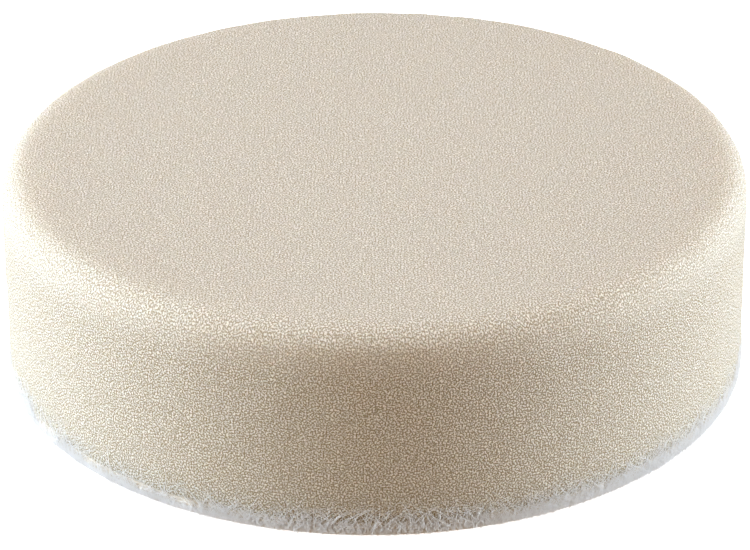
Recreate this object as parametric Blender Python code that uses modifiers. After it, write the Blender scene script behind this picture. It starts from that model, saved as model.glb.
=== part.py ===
"""A round foam polishing pad with a loop backing, the kind that a hook-faced backing plate carries.

The pad lies loop side down on Z = 0, centred on the Z axis, with its working face up. Metres throughout.
From the bottom it is a layer of brushed loops, the knitted cloth that holds them, a film of hot-melt
adhesive and the foam. Each is a turned solid, and each keeps a hair of air to its neighbour.
"""

import math

import bpy

# Driving dimensions
PAD_DIAMETER = 0.150
PAD_HEIGHT = 0.044
WORKING_EDGE_RADIUS = 0.0055  # the ground, rounded edge of the working face
GLUED_EDGE_RADIUS = 0.0004  # the foam's lower edge, cut square but for the tear of the blade
PILE_HEIGHT = 0.0016
PILE_EDGE_RADIUS = 0.0006
GROUND_CLOTH_THICKNESS = 0.0005
ADHESIVE_THICKNESS = 0.0003
ADHESIVE_INSET = 0.0005  # how far the film stops short of the cut edge
LAMINATE_GAP = 0.0003  # air between bonded layers, so that no two solids share a face

# How finely the round shapes are cut
TURN_STEPS = 96
WORKING_EDGE_STEPS = 8
SMALL_EDGE_STEPS = 3
SHARP_ANGLE = math.radians(40)

# Heights of the layers, from the floor up
PAD_RADIUS = PAD_DIAMETER / 2
CLOTH_BOTTOM = PILE_HEIGHT + LAMINATE_GAP
CLOTH_TOP = CLOTH_BOTTOM + GROUND_CLOTH_THICKNESS
ADHESIVE_BOTTOM = CLOTH_TOP + LAMINATE_GAP
ADHESIVE_TOP = ADHESIVE_BOTTOM + ADHESIVE_THICKNESS
FOAM_BOTTOM = ADHESIVE_TOP + LAMINATE_GAP


def new_material(name, colour, roughness):
    """A matte Principled material, with its linear base colour."""
    material = bpy.data.materials.new(name)
    material.use_nodes = True
    material.diffuse_color = (*colour, 1.0)
    shader = material.node_tree.nodes["Principled BSDF"]
    shader.inputs["Base Color"].default_value = (*colour, 1.0)
    shader.inputs["Roughness"].default_value = roughness
    shader.inputs["Metallic"].default_value = 0.0
    return material


def quarter_round(centre_x, centre_z, radius, first_angle, steps):
    """Points of a quarter circle in the XZ plane, clockwise from first_angle, both ends included."""
    points = []
    for step in range(steps + 1):
        angle = first_angle - step / steps * math.pi / 2
        points.append((centre_x + radius * math.cos(angle), centre_z + radius * math.sin(angle)))
    return points


def turned_solid(name, profile, material, collection):
    """A solid of revolution about Z. The (x, z) profile runs down the outer side, from axis to axis."""
    mesh = bpy.data.meshes.new(name)
    edges = [(i, i + 1) for i in range(len(profile) - 1)]
    mesh.from_pydata([(x, 0.0, z) for x, z in profile], edges, [])
    mesh.materials.append(material)
    solid = bpy.data.objects.new(name, mesh)
    collection.objects.link(solid)
    screw = solid.modifiers.new("Turn", "SCREW")
    screw.axis = "Z"
    screw.angle = 2 * math.pi
    screw.steps = TURN_STEPS
    screw.render_steps = TURN_STEPS
    screw.use_merge_vertices = True
    screw.merge_threshold = 1e-5
    return solid


def shade_round(solid):
    """Bakes the turning into the mesh and shades it smooth, but for its sharp corners."""
    graph = bpy.context.evaluated_depsgraph_get()
    mesh = bpy.data.meshes.new_from_object(solid.evaluated_get(graph))
    profile_mesh = solid.data
    solid.modifiers.clear()
    solid.data = mesh
    bpy.data.meshes.remove(profile_mesh)
    mesh.name = solid.name
    mesh.shade_smooth()
    mesh.set_sharp_from_angle(angle=SHARP_ANGLE)


def plain_layer(name, bottom, top, radius, material, collection):
    """A flat layer with square-cut edges."""
    profile = [(0.0, top), (radius, top), (radius, bottom), (0.0, bottom)]
    return turned_solid(name, profile, material, collection)


def make_foam_disc(collection):
    """The foam: a flat working face, a rounded working edge, and a straight side down to the glue."""
    ivory_foam = new_material("open_cell_polyurethane_foam", (0.70, 0.62, 0.50), 0.9)
    working_edge = quarter_round(
        PAD_RADIUS - WORKING_EDGE_RADIUS,
        PAD_HEIGHT - WORKING_EDGE_RADIUS,
        WORKING_EDGE_RADIUS,
        math.pi / 2,
        WORKING_EDGE_STEPS,
    )
    glued_edge = quarter_round(
        PAD_RADIUS - GLUED_EDGE_RADIUS,
        FOAM_BOTTOM + GLUED_EDGE_RADIUS,
        GLUED_EDGE_RADIUS,
        0.0,
        SMALL_EDGE_STEPS,
    )
    profile = [(0.0, PAD_HEIGHT), *working_edge, *glued_edge, (0.0, FOAM_BOTTOM)]
    return turned_solid("foam_disc", profile, ivory_foam, collection)


def make_adhesive_film(collection):
    """The film of hot-melt adhesive, a little smaller than the pad so that none of it shows as a bead."""
    clear_hot_melt = new_material("hot_melt_adhesive", (0.66, 0.60, 0.48), 0.35)
    radius = PAD_RADIUS - ADHESIVE_INSET
    return plain_layer("adhesive_film", ADHESIVE_BOTTOM, ADHESIVE_TOP, radius, clear_hot_melt, collection)


def make_loop_ground_cloth(collection):
    """The knitted cloth that the loops stand on, cut flush with the foam."""
    white_knit = new_material("polyamide_ground_knit", (0.76, 0.75, 0.77), 0.85)
    return plain_layer("loop_ground_cloth", CLOTH_BOTTOM, CLOTH_TOP, PAD_RADIUS, white_knit, collection)


def make_loop_pile(collection):
    """The layer of brushed loops, whose rim is worn round."""
    white_loops = new_material("brushed_polyamide_loops", (0.80, 0.79, 0.82), 0.8)
    worn_rim = quarter_round(
        PAD_RADIUS - PILE_EDGE_RADIUS, PILE_EDGE_RADIUS, PILE_EDGE_RADIUS, 0.0, SMALL_EDGE_STEPS
    )
    profile = [(0.0, PILE_HEIGHT), (PAD_RADIUS, PILE_HEIGHT), *worn_rim, (0.0, 0.0)]
    return turned_solid("loop_pile", profile, white_loops, collection)


def main():
    for leftover in list(bpy.data.objects):
        bpy.data.objects.remove(leftover, do_unlink=True)
    polishing_pad = bpy.data.collections.new("polishing_pad")
    bpy.context.scene.collection.children.link(polishing_pad)
    pieces = [
        make_foam_disc(polishing_pad),
        make_adhesive_film(polishing_pad),
        make_loop_ground_cloth(polishing_pad),
        make_loop_pile(polishing_pad),
    ]
    bpy.context.view_layer.update()
    for piece in pieces:
        shade_round(piece)


main()
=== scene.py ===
import math
import random

import bmesh
import bpy
from mathutils import Matrix, Vector, noise


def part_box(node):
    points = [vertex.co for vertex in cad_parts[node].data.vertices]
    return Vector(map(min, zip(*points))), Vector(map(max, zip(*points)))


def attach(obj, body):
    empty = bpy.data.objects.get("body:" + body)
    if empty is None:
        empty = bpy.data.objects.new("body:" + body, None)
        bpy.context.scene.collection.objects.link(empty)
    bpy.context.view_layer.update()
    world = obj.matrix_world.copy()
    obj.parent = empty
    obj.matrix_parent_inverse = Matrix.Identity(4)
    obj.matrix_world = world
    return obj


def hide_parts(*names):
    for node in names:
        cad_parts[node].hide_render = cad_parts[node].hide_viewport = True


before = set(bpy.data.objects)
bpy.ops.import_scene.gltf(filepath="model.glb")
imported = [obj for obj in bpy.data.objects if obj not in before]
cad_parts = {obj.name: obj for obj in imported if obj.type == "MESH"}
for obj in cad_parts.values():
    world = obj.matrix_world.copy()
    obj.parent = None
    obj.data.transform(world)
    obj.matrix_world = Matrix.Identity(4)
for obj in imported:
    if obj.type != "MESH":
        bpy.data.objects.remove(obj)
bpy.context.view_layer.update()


# ---- Foam disc ----------------------------------------------------------------------------------
# The body of the pad: fine-celled open polyurethane foam, cut from a block as a plain disc. Its upper
# face is the working face, ground flat with a rounded edge; its lower face is glued to the loop cloth.

def linear(hex_colour):
    """An sRGB hex colour as linear RGBA."""
    channels = [int(hex_colour[i:i + 2], 16) / 255 for i in (1, 3, 5)]
    return (*(c / 12.92 if c <= 0.04045 else ((c + 0.055) / 1.055) ** 2.4 for c in channels), 1.0)


def add_node(tree, kind, inputs=None, **settings):
    """Adds a node, sets its properties, and gives each named input its value or its link."""
    node = tree.nodes.new(kind)
    for name, value in settings.items():
        setattr(node, name, value)
    for name, value in (inputs or {}).items():
        if isinstance(value, bpy.types.NodeSocket):
            tree.links.new(value, node.inputs[name])
        else:
            node.inputs[name].default_value = value
    return node


def new_material(name):
    """A node material with nothing in it but its output, its tree, and the Object coordinates."""
    material = bpy.data.materials.new(name)
    material.use_nodes = True
    tree = material.node_tree
    tree.nodes.clear()
    add_node(tree, "ShaderNodeOutputMaterial")
    return material, tree, add_node(tree, "ShaderNodeTexCoord").outputs["Object"]


def finish_material(tree, shader):
    """Links a material's shader to its output."""
    tree.links.new(shader.outputs["BSDF"], tree.nodes["Material Output"].inputs["Surface"])


def pull_into_disc(verts):
    """Pulls a square grid's square rings out to circles, so that a round face has even quads."""
    for v in verts:
        x, y = v.co.xy
        if abs(x) >= abs(y):
            turn = math.pi / 4 * (y / x if x else 0.0)
            v.co.xy = x * math.cos(turn), x * math.sin(turn)
        else:
            turn = math.pi / 4 * x / y
            v.co.xy = y * math.sin(turn), y * math.cos(turn)


def round_slab(across, profile):
    """A closed round slab: both its faces are grids of even quads, and its rim is drawn from one to the
    other through a profile of (radius, height) points."""
    bm = bmesh.new()
    first = bmesh.ops.create_grid(bm, x_segments=across, y_segments=across, size=profile[0][0])["verts"]
    pull_into_disc(first)
    bmesh.ops.translate(bm, vec=(0, 0, profile[0][1]), verts=first)
    rim = [e for e in bm.edges if e.is_boundary]
    for radius, z in profile[1:]:
        drawn = bmesh.ops.extrude_edge_only(bm, edges=rim)["geom"]
        for v in drawn:
            if isinstance(v, bmesh.types.BMVert):
                v.co.xy = v.co.xy.normalized() * radius
                v.co.z = z
        rim = [e for e in drawn if isinstance(e, bmesh.types.BMEdge)]
    last = bmesh.ops.create_grid(bm, x_segments=across, y_segments=across, size=profile[-1][0])["verts"]
    pull_into_disc(last)
    bmesh.ops.translate(bm, vec=(0, 0, profile[-1][1]), verts=last)
    bmesh.ops.remove_doubles(bm, verts=bm.verts, dist=1e-6)
    bmesh.ops.recalc_face_normals(bm, faces=bm.faces)
    return bm


def new_piece(name, shape, material):
    """A smooth-shaded object made from a bmesh, which rides on the pad's only body."""
    mesh = bpy.data.meshes.new(name)
    shape.to_mesh(mesh)
    shape.free()
    mesh.materials.append(material)
    mesh.shade_smooth()
    piece = bpy.data.objects.new(name, mesh)
    bpy.context.scene.collection.objects.link(piece)
    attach(piece, "root")
    return piece


def subdivide(piece, levels):
    """Rounds a cage with Subdivision Surface, and bakes it into the piece's mesh."""
    rounding = piece.modifiers.new("Even quads", "SUBSURF")
    rounding.levels = levels
    rounding.render_levels = levels
    bpy.context.view_layer.update()
    graph = bpy.context.evaluated_depsgraph_get()
    mesh = bpy.data.meshes.new_from_object(piece.evaluated_get(graph))
    piece.modifiers.clear()
    piece.data = mesh
    mesh.name = piece.name


foam_low, foam_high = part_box("foam_disc")
pad_radius = foam_high.x
WORKING_EDGE = 0.0055  # the radius that the working edge is ground to
SOAKED = 0.00014  # how far each layer reaches into the thin gap between it and the next
FOAM_CELL = 0.00062  # about 40 cells to the inch
CUT_DEPTH = 0.0001  # the relief of the cut cells
GROUND_SHADE_LIFT = 0.15  # the share of the cells' painted shade that the ground working face loses
CAGE_ACROSS = 40  # quads across a face of the cage, before it is subdivided
SKIN_WANDER = 0.00012  # how far the cut skin strays in or out
SKIN_SCALE = 160


def foam_cage():
    """A coarse cage of the disc, with its working edge rounded and its glued edge nearly sharp."""
    edge_steps = 4
    side_steps = 10
    lowest_ring = 0.0008  # above the foot
    glued_edge = 0.0002
    under_edge = 0.003
    foot = foam_low.z - SOAKED
    shoulder = foam_high.z - WORKING_EDGE
    profile = []
    for step in range(edge_steps + 1):
        angle = math.pi / 2 * step / edge_steps
        outward = WORKING_EDGE * (math.sin(angle) - 1)
        profile.append((pad_radius + outward, shoulder + WORKING_EDGE * math.cos(angle)))
    for step in range(1, side_steps + 1):
        profile.append((pad_radius, shoulder + (foot + lowest_ring - shoulder) * step / side_steps))
    profile += [(pad_radius, foot + glued_edge), (pad_radius - glued_edge, foot)]
    profile += [(pad_radius - under_edge, foot)]
    return round_slab(CAGE_ACROSS, profile)


def foam_material():
    """Open-cell polyurethane foam, cut and ground: matt and slightly see-through, a grain of pale strut
    ends round cells painted darker and warmer as the shade in their hollows, and a soft warm light
    where it has passed through the foam."""
    material, tree, place = new_material("open_cell_polyurethane_foam_cut_and_ground")
    # The cells follow the surface: flat on the working face, and unrolled round the side.
    axes = add_node(tree, "ShaderNodeSeparateXYZ", {"Vector": place})
    turn = add_node(tree, "ShaderNodeMath", {0: axes.outputs["X"], 1: axes.outputs["Y"]}, operation="ARCTAN2")
    way_round = add_node(
        tree,
        "ShaderNodeMath",
        {0: turn.outputs["Value"], 1: pad_radius},
        operation="MULTIPLY",
    )
    unrolled = add_node(
        tree,
        "ShaderNodeCombineXYZ",
        {"X": way_round.outputs["Value"], "Y": axes.outputs["Z"]},
    )
    on_side = add_node(
        tree,
        "ShaderNodeMath",
        {0: axes.outputs["Z"], 1: foam_high.z - WORKING_EDGE * 0.3},
        operation="LESS_THAN",
    )
    # A Mix node's vector sockets share their names with others: inputs 4 and 5 are A and B, and output 1
    # is the result.
    surface = add_node(
        tree,
        "ShaderNodeMix",
        {"Factor": on_side.outputs["Value"], 4: place, 5: unrolled.outputs["Vector"]},
        data_type="VECTOR",
    )
    per_cell = add_node(
        tree,
        "ShaderNodeVectorMath",
        {0: surface.outputs[1], "Scale": 1 / FOAM_CELL},
        operation="SCALE",
    )
    cells = add_node(
        tree,
        "ShaderNodeTexVoronoi",
        {"Vector": per_cell.outputs["Vector"], "Scale": 1.0},
        voronoi_dimensions="2D",
        feature="DISTANCE_TO_EDGE",
    )
    # The torn strut ends between the cells: two of them to a cell, at no set place.
    struts = add_node(
        tree,
        "ShaderNodeTexNoise",
        {"Vector": per_cell.outputs["Vector"], "Scale": 2.1, "Detail": 1.0, "Roughness": 0.5},
        noise_dimensions="2D",
    )
    rough = add_node(
        tree,
        "ShaderNodeMath",
        {0: cells.outputs["Distance"], 1: 0.7, 2: struts.outputs["Fac"]},
        operation="MULTIPLY_ADD",
    )
    grain = add_node(
        tree,
        "ShaderNodeMapRange",
        {"Value": rough.outputs["Value"], "From Min": 0.49, "From Max": 0.81},
    )
    # Grinding the working face and its edge closes their cells a little, so the painted shade in the cells is
    # fainter there.
    closed = add_node(
        tree,
        "ShaderNodeMapRange",
        {
            "Value": axes.outputs["Z"],
            "From Min": foam_high.z - WORKING_EDGE - 0.006,
            "From Max": foam_high.z - WORKING_EDGE + 0.001,
            "To Max": GROUND_SHADE_LIFT,
        },
        interpolation_type="SMOOTHSTEP",
    )
    grain_with_cell_shade = add_node(
        tree,
        "ShaderNodeMapRange",
        {"Value": grain.outputs["Result"], "To Min": closed.outputs["Result"]},
    )
    # The ramp's dark, warm end is painted shade in the cells' hollows; its pale end is the struts' own
    # colour.
    colour = add_node(tree, "ShaderNodeValToRGB", {"Fac": grain_with_cell_shade.outputs["Result"]})
    colour.color_ramp.elements[0].color = linear("#9A8765")
    colour.color_ramp.elements[1].color = linear("#F1E8D9")
    relief = add_node(
        tree,
        "ShaderNodeBump",
        {"Height": grain.outputs["Result"], "Strength": 1.0, "Distance": CUT_DEPTH},
    )
    shader = add_node(
        tree,
        "ShaderNodeBsdfPrincipled",
        {
            "Base Color": colour.outputs["Color"],
            "Roughness": 0.95,
            "IOR": 1.45,
            "Specular IOR Level": 0.2,
            "Subsurface Weight": 0.5,
            "Subsurface Scale": 0.012,
            "Subsurface Radius": (1.0, 0.75, 0.5),
            "Normal": relief.outputs["Normal"],
        },
    )
    finish_material(tree, shader)
    return material


foam = new_piece("foam_disc_open_cell", foam_cage(), foam_material())
subdivide(foam, 2)
bm = bmesh.new()
bm.from_mesh(foam.data)
for v in bm.verts:
    v.co += v.normal * SKIN_WANDER * noise.noise(v.co * SKIN_SCALE)
bm.to_mesh(foam.data)
bm.free()
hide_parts("foam_disc")


# ---- Adhesive film -------------------------------------------------------------------------------
# Hot-melt film, laid between the foam and the loop cloth and pressed with heat. It soaks into both, and
# shows only as a thin milky bead, squeezed a little unevenly from between them.

def turned(profile, steps):
    """A round shape spun from half its profile, a list of (radius, height) points."""
    bm = bmesh.new()
    points = [bm.verts.new((radius, 0, z)) for radius, z in profile]
    edges = [bm.edges.new(pair) for pair in zip(points, points[1:])]
    bmesh.ops.spin(
        bm,
        geom=points + edges,
        cent=(0, 0, 0),
        axis=(0, 0, 1),
        angle=2 * math.pi,
        steps=steps,
        use_merge=True,
    )
    bmesh.ops.remove_doubles(bm, verts=bm.verts, dist=1e-6)
    bmesh.ops.recalc_face_normals(bm, faces=bm.faces)
    return bm


film_low, film_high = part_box("adhesive_film")
SQUEEZED_OUT = 0.0003  # how far the bead stands out past the laid film
FILM_WANDER = 0.0002
FILM_STEPS = 720  # round the film


def film_shape():
    """The pressed film, with a rounded edge that wanders in and out."""
    top = film_high.z + SOAKED
    foot = film_low.z - SOAKED
    middle = (top + foot) / 2
    edge = film_high.x + SQUEEZED_OUT
    profile = [(0, top), (edge - 0.004, top), (edge - 0.0003, top), (edge - 0.0001, middle + 0.00016)]
    profile += [(edge, middle), (edge - 0.0001, middle - 0.00016), (edge - 0.0003, foot)]
    profile += [(edge - 0.004, foot), (0, foot)]
    bm = turned(profile, FILM_STEPS)
    for v in bm.verts:
        if v.co.xy.length > edge - 0.002:
            v.co.xy *= 1 + FILM_WANDER / edge * noise.noise(v.co * 350)
    return bm


material, tree, _ = new_material("hot_melt_copolyamide_adhesive_pressed")
# Milky and slightly glossy, as a melt that has set, with the light soaking a millimetre into it.
shader = add_node(
    tree,
    "ShaderNodeBsdfPrincipled",
    {
        "Base Color": linear("#D9CCB6"),
        "Roughness": 0.6,
        "IOR": 1.5,
        "Subsurface Weight": 0.4,
        "Subsurface Scale": 0.001,
        "Subsurface Radius": (1.0, 0.9, 0.8),
    },
)
finish_material(tree, shader)
film = new_piece("adhesive_film_pressed", film_shape(), material)
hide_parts("adhesive_film")


# ---- Ground cloth --------------------------------------------------------------------------------
# The loop cloth's ground: a warp-knitted polyamide disc, cut with the foam after gluing. It holds the
# loops, and only its cut edge shows, a little frayed, between the glue and the pile.

cloth_low, cloth_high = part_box("loop_ground_cloth")
WALE = 0.00127  # 20 wales to the inch
COURSE = 0.0009  # 28 courses to the inch
KNIT_RELIEF = 0.0002
FRAYED = 0.00015  # how far the cut edge frays in and out
CLOTH_ACROSS = 110  # quads across a face


def cloth_shape():
    """A round cloth of even quads with a frayed edge, which reaches into the gaps above and below it."""
    top = cloth_high.z + SOAKED
    foot = cloth_low.z - SOAKED
    profile = [(pad_radius - 0.0003, top), (pad_radius - 0.0001, top - 0.0001)]
    profile += [(pad_radius, (top + foot) / 2)]
    profile += [(pad_radius - 0.0001, foot + 0.0001), (pad_radius - 0.0003, foot)]
    bm = round_slab(CLOTH_ACROSS, profile)
    for v in bm.verts:
        if v.co.xy.length > pad_radius - 0.0002:
            v.co.xy *= 1 + FRAYED / pad_radius * noise.noise(v.co * 900)
    return bm


material, tree, place = new_material("polyamide_warp_knit_heat_set")
# Filament yarn in wales and courses, coloured a darker cream than the pile all over, so that the strip
# between the foam and the pile reads darker: matt across the knit, with a soft sheen along it.
bands = []
for direction, pitch in (("X", WALE), ("Y", COURSE)):
    # A Wave texture at scale 1 repeats every 2 pi / 20 units.
    band = add_node(
        tree,
        "ShaderNodeTexWave",
        {"Vector": place, "Scale": 2 * math.pi / 20 / pitch, "Distortion": 0.0},
        wave_type="BANDS",
        bands_direction=direction,
    )
    bands.append(band.outputs["Fac"])
knit = add_node(tree, "ShaderNodeMath", {0: bands[0], 1: bands[1]}, operation="MULTIPLY")
relief = add_node(
    tree,
    "ShaderNodeBump",
    {"Height": knit.outputs["Value"], "Strength": 1.0, "Distance": KNIT_RELIEF},
)
shader = add_node(
    tree,
    "ShaderNodeBsdfPrincipled",
    {
        "Base Color": linear("#DDD3C3"),
        "Roughness": 0.75,
        "IOR": 1.53,
        "Specular IOR Level": 0.3,
        "Sheen Weight": 0.3,
        "Sheen Roughness": 0.4,
        "Normal": relief.outputs["Normal"],
    },
)
finish_material(tree, shader)
cloth = new_piece("loop_ground_cloth_knitted", cloth_shape(), material)
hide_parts("loop_ground_cloth")


# ---- Loop pile -----------------------------------------------------------------------------------
# The loop half of a hook-and-loop fastener: fine polyamide yarn knitted through the ground cloth and
# brushed, so that loose loops stand on a soft mat of crossed filaments. The mat is one lumpy piece.

pile_low, pile_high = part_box("loop_pile")
MAT_LIFT = 0.0009  # how far the loops stand out below the mat
MAT_ACROSS = 190  # quads across a face
EDGE_HANG = 0.0005  # how much lower the woolly edge hangs
EDGE_WIDTH = 0.0025
LUMP_SIDEWAYS = 0.0002
LUMP_DOWN = 0.00022
FLUFF_RELIEF = 0.0003


def mat_shape():
    """A soft disc, lumpy underneath where the loops' feet gather, with a woolly edge that hangs lower."""
    top = pile_high.z + SOAKED
    foot = pile_low.z + MAT_LIFT
    profile = [(pad_radius - 0.0006, foot), (pad_radius - 0.0002, foot + 0.0001), (pad_radius, foot + 0.0003)]
    profile += [(pad_radius, top - 0.0003), (pad_radius - 0.0002, top), (pad_radius - 0.001, top)]
    bm = round_slab(MAT_ACROSS, profile)
    for v in bm.verts:
        lump = noise.noise(v.co * 900) + 0.5 * noise.noise(v.co * 1700)
        if v.co.z < top - 0.0001:
            v.co.xy *= 1 + LUMP_SIDEWAYS / pad_radius * lump
        if v.co.z < foot + 0.0004:
            hang = min(1.0, max(0.0, 1 - (pad_radius - v.co.xy.length) / EDGE_WIDTH))
            v.co.z += LUMP_DOWN * lump - EDGE_HANG * hang
    return bm


material, tree, place = new_material("brushed_polyamide_loop_mat")
# White nylon fluff: no gloss, a pale sheen at its edges, and light that passes between the filaments.
fluff = add_node(
    tree,
    "ShaderNodeTexNoise",
    {"Vector": place, "Scale": 2600.0, "Detail": 3.0, "Roughness": 0.6, "Distortion": 1.5},
)
relief = add_node(
    tree,
    "ShaderNodeBump",
    {"Height": fluff.outputs["Fac"], "Strength": 1.0, "Distance": FLUFF_RELIEF},
)
shader = add_node(
    tree,
    "ShaderNodeBsdfPrincipled",
    {
        "Base Color": linear("#EEECE9"),
        "Roughness": 0.9,
        "IOR": 1.53,
        "Specular IOR Level": 0.2,
        "Sheen Weight": 0.4,
        "Sheen Roughness": 0.5,
        "Subsurface Weight": 0.4,
        "Subsurface Scale": 0.0012,
        "Subsurface Radius": (1.0, 1.0, 1.0),
        "Normal": relief.outputs["Normal"],
    },
)
finish_material(tree, shader)
pile_mat = new_piece("loop_pile_mat_brushed", mat_shape(), material)
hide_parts("loop_pile")


# ---- Standing loops ------------------------------------------------------------------------------
# The loops that the hooks catch: polyamide filament bows about a millimetre wide, knitted in, that stand
# out of the mat and lean their own way. They are drawn several times thicker than real, and farther apart.

LOOP_ROW = 0.00175
LOOP_SPACE = 0.00185
LOOP_STRAY = 0.0004  # how far a bow stands from its place in the row
BOW_STEPS = 4
LOOP_THICK = 0.0001  # the radius of a bow's filament


def laid_strands(name, lines, radii, material):
    """Round strands along many lines of points, each with the same radius at each of its points, as one
    mesh piece: a curve with a round bevel is what a filament is drawn with."""
    curve = bpy.data.curves.new(name, "CURVE")
    curve.dimensions = "3D"
    curve.bevel_depth = 1.0
    curve.bevel_resolution = 0
    curve.use_fill_caps = True
    for line in lines:
        spline = curve.splines.new("POLY")
        spline.points.add(len(line) - 1)
        for point, place, radius in zip(spline.points, line, radii):
            point.co = (*place, 1.0)
            point.radius = radius
    drawn = bpy.data.objects.new(name, curve)
    shape = bmesh.new()
    mesh = drawn.to_mesh()
    shape.from_mesh(mesh)
    drawn.to_mesh_clear()
    bpy.data.objects.remove(drawn)
    bpy.data.curves.remove(curve)
    return new_piece(name, shape, material)


def standing_bows():
    """A line of points for each bow, in rows over the whole cloth, hanging below the mat."""
    chance = random.Random(7)
    lines = []
    rows = int(pad_radius / LOOP_ROW)
    places = int(pad_radius / LOOP_SPACE)
    for row in range(-rows, rows + 1):
        for place in range(-places, places + 1):
            x = (place + 0.5 * (row % 2)) * LOOP_SPACE + chance.uniform(-LOOP_STRAY, LOOP_STRAY)
            y = row * LOOP_ROW + chance.uniform(-LOOP_STRAY, LOOP_STRAY)
            if math.hypot(x, y) > pad_radius - 0.0012:
                continue
            facing = chance.uniform(0, math.pi)
            half = chance.uniform(0.0004, 0.0007)
            lean = chance.uniform(-0.0004, 0.0004)
            drop = chance.uniform(0.0006, 0.00095)
            line = []
            for step in range(BOW_STEPS + 1):
                down = math.sin(math.pi * step / BOW_STEPS)
                along = -math.cos(math.pi * step / BOW_STEPS) * half
                bow = Vector((along, lean * down, -drop * down))
                bow.rotate(Matrix.Rotation(facing, 3, "Z"))
                line.append(Vector((x, y, MAT_LIFT + 0.00015)) + bow)
            lines.append(line)
    return lines


filament, tree, _ = new_material("polyamide_filament_white")
# Fine clear-white nylon filament: a bright soft gloss along it, and light passing through it.
shader = add_node(
    tree,
    "ShaderNodeBsdfPrincipled",
    {
        "Base Color": linear("#F7F5F1"),
        "Roughness": 0.45,
        "IOR": 1.53,
        "Specular IOR Level": 0.9,
        "Sheen Weight": 0.3,
        "Sheen Roughness": 0.4,
        "Subsurface Weight": 0.5,
        "Subsurface Scale": 0.0004,
        "Subsurface Radius": (1.0, 1.0, 1.0),
    },
)
finish_material(tree, shader)
loops = laid_strands(
    "loop_pile_standing_loops",
    standing_bows(),
    [LOOP_THICK] * (BOW_STEPS + 1),
    filament,
)


# ---- Rim fringe ----------------------------------------------------------------------------------
# Polyamide filaments that brushing and cutting have pulled loose round the rim, held at one end in the
# pile: they curl out of its edge and lie up against the foam's side, more in some places than in others.

FRINGE_STRANDS = 5000
LONG_STRANDS = 2200
BRUSHED_TO = math.radians(-60)  # the side that the brushing has drawn the filaments to
FRINGE_THICK = 0.00004  # the radius of a strand: about twice the real filament, so that it shows
FRINGE_STEPS = 4


def loose_filaments(seed, count, shortest, longest, evenness):
    """A line of points for each strand, from the pile's edge, back and sideways up the foam."""
    chance = random.Random(seed)
    lines = []
    while len(lines) < count:
        angle = chance.uniform(0, 2 * math.pi)
        tuft = noise.noise(Vector((math.cos(angle), math.sin(angle), seed)) * 9)
        tuft += 0.35 * math.cos(angle - BRUSHED_TO)
        if chance.random() > evenness + 1.2 * tuft:
            continue
        length = shortest + (longest - shortest) * chance.random() ** 1.6
        foot = chance.uniform(0.0003, 0.0018)
        way = chance.choice((-1, 1)) * chance.uniform(0.1, 1.1)
        bow = chance.uniform(-0.9, 0.9)
        stand_off = chance.uniform(0.0001, 0.0005)
        line = []
        for step in range(FRINGE_STEPS + 1):
            s = step / FRINGE_STEPS
            climb = length * (s - 0.3 * abs(way) * s * s)
            across = length * (way * s * s + bow * s * (1 - s))
            away = pad_radius - 0.0001 + stand_off * math.sin(math.pi * (0.15 + s * 0.85))
            turn = angle + across / pad_radius
            line.append(Vector((away * math.cos(turn), away * math.sin(turn), foot + climb)))
        lines.append(line)
    return lines


fringe = laid_strands(
    "loop_pile_rim_fringe",
    loose_filaments(23, FRINGE_STRANDS, 0.0008, 0.0035, 0.8),
    [FRINGE_THICK * share for share in (1.0, 1.0, 0.9, 0.7, 0.3)],
    filament,
)
long_fringe = laid_strands(
    "loop_pile_long_filaments",
    loose_filaments(31, LONG_STRANDS, 0.003, 0.0085, 0.45),
    [FRINGE_THICK * share for share in (0.9, 0.9, 0.8, 0.6, 0.3)],
    filament,
)


# ---- Studio --------------------------------------------------------------------------------------
# A round white sweep that is pale from every side, large soft lights, and a long lens.

SWEEP = [(0, 0), (3.0, 0), (3.4, 0.05), (3.75, 0.25), (3.95, 0.6), (4.0, 1.0), (4.0, 3.0)]
SWEEP_STEPS = 96
PAD_MIDDLE = 0.022  # the height that the lamps and the camera are placed from
CAMERA_AWAY = 0.75
CAMERA_UP = 27.5
CAMERA_ROLL = -0.5
AIM_HEIGHT = 0.0165

material, tree, _ = new_material("white_painted_sweep")
# White paint, evenly lit, so that the floor and the walls read as one plain white.
shader = add_node(
    tree,
    "ShaderNodeBsdfPrincipled",
    {
        "Base Color": (0.9, 0.9, 0.9, 1.0),
        "Roughness": 0.9,
        "Emission Color": (1.0, 1.0, 1.0, 1.0),
        "Emission Strength": 1.0,
    },
)
finish_material(tree, shader)
sweep_shape = turned(SWEEP, SWEEP_STEPS)
bmesh.ops.reverse_faces(sweep_shape, faces=sweep_shape.faces)
mesh = bpy.data.meshes.new("white_sweep")
sweep_shape.to_mesh(mesh)
sweep_shape.free()
mesh.materials.append(material)
mesh.shade_smooth()
sweep = bpy.data.objects.new("white_sweep", mesh)
bpy.context.scene.collection.objects.link(sweep)
sweep.visible_diffuse = False
sweep.visible_shadow = False
sweep.visible_transmission = False
sweep.visible_volume_scatter = False

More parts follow.
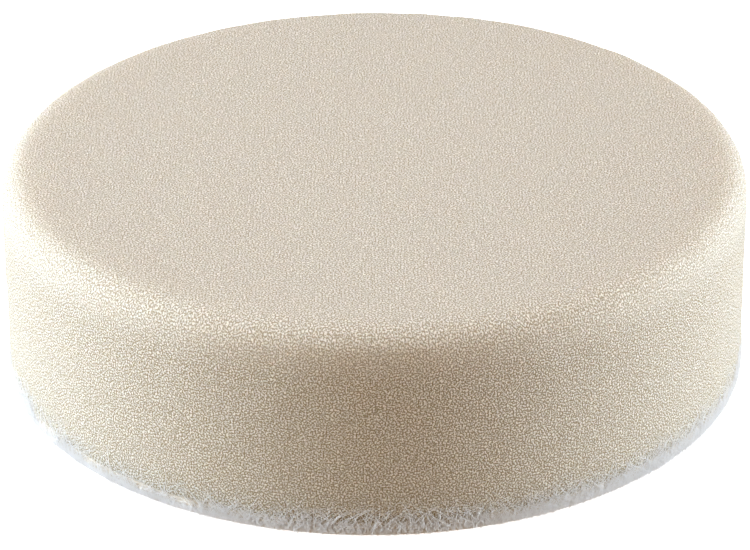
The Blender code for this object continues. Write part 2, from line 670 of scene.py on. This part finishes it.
LIGHTS = {
    # name: azimuth from the front, elevation, distance, width, height, power, colour
    "left_side": (-79, 14, 0.9, 0.38, 0.6, 17.2, (0.67, 0.82, 1.0)),
    "right_side": (81, 7, 0.9, 0.38, 0.6, 13.6, (0.67, 0.82, 1.0)),
    "overhead": (180, 76, 1.2, 0.9, 0.9, 8.3, (0.72, 0.82, 1.0)),
    "back": (180, 30, 1.2, 1.2, 0.5, 0.8, (0.7, 0.84, 1.0)),
}
for name, (azimuth, elevation, distance, width, height, power, colour) in LIGHTS.items():
    light = bpy.data.lights.new(name, "AREA")
    light.shape = "RECTANGLE"
    light.size = width
    light.size_y = height
    light.energy = power
    light.color = colour
    lamp = bpy.data.objects.new(name, light)
    a, e = math.radians(azimuth), math.radians(elevation)
    back = Vector((math.sin(a) * math.cos(e), -math.cos(a) * math.cos(e), math.sin(e)))
    lamp.location = Vector((0, 0, PAD_MIDDLE)) + back * distance
    lamp.rotation_mode = "QUATERNION"
    lamp.rotation_quaternion = (-back).to_track_quat("-Z", "Y")
    lamp.visible_camera = False
    bpy.context.scene.collection.objects.link(lamp)

world = bpy.data.worlds.new("room")
world.use_nodes = True
background = world.node_tree.nodes["Background"]
background.inputs["Color"].default_value = (1.0, 0.62, 0.25, 1.0)
background.inputs["Strength"].default_value = 0.33
bpy.context.scene.world = world

camera_data = bpy.data.cameras.new("camera")
camera_data.lens = 176.5
camera_data.sensor_width = 36.0
camera_data.clip_start = 0.01
camera_data.clip_end = 50.0
camera = bpy.data.objects.new("camera", camera_data)
elevation = math.radians(CAMERA_UP)
height = PAD_MIDDLE + CAMERA_AWAY * math.sin(elevation)
camera.location = Vector((0, -CAMERA_AWAY * math.cos(elevation), height))
look = Vector((0, 0, AIM_HEIGHT)) - camera.location
roll = Matrix.Rotation(math.radians(CAMERA_ROLL), 4, "Z").to_quaternion()
camera.rotation_mode = "QUATERNION"
camera.rotation_quaternion = look.to_track_quat("-Z", "Y") @ roll
bpy.context.scene.collection.objects.link(camera)
bpy.context.scene.camera = camera
bpy.context.scene.view_settings.view_transform = "Standard"
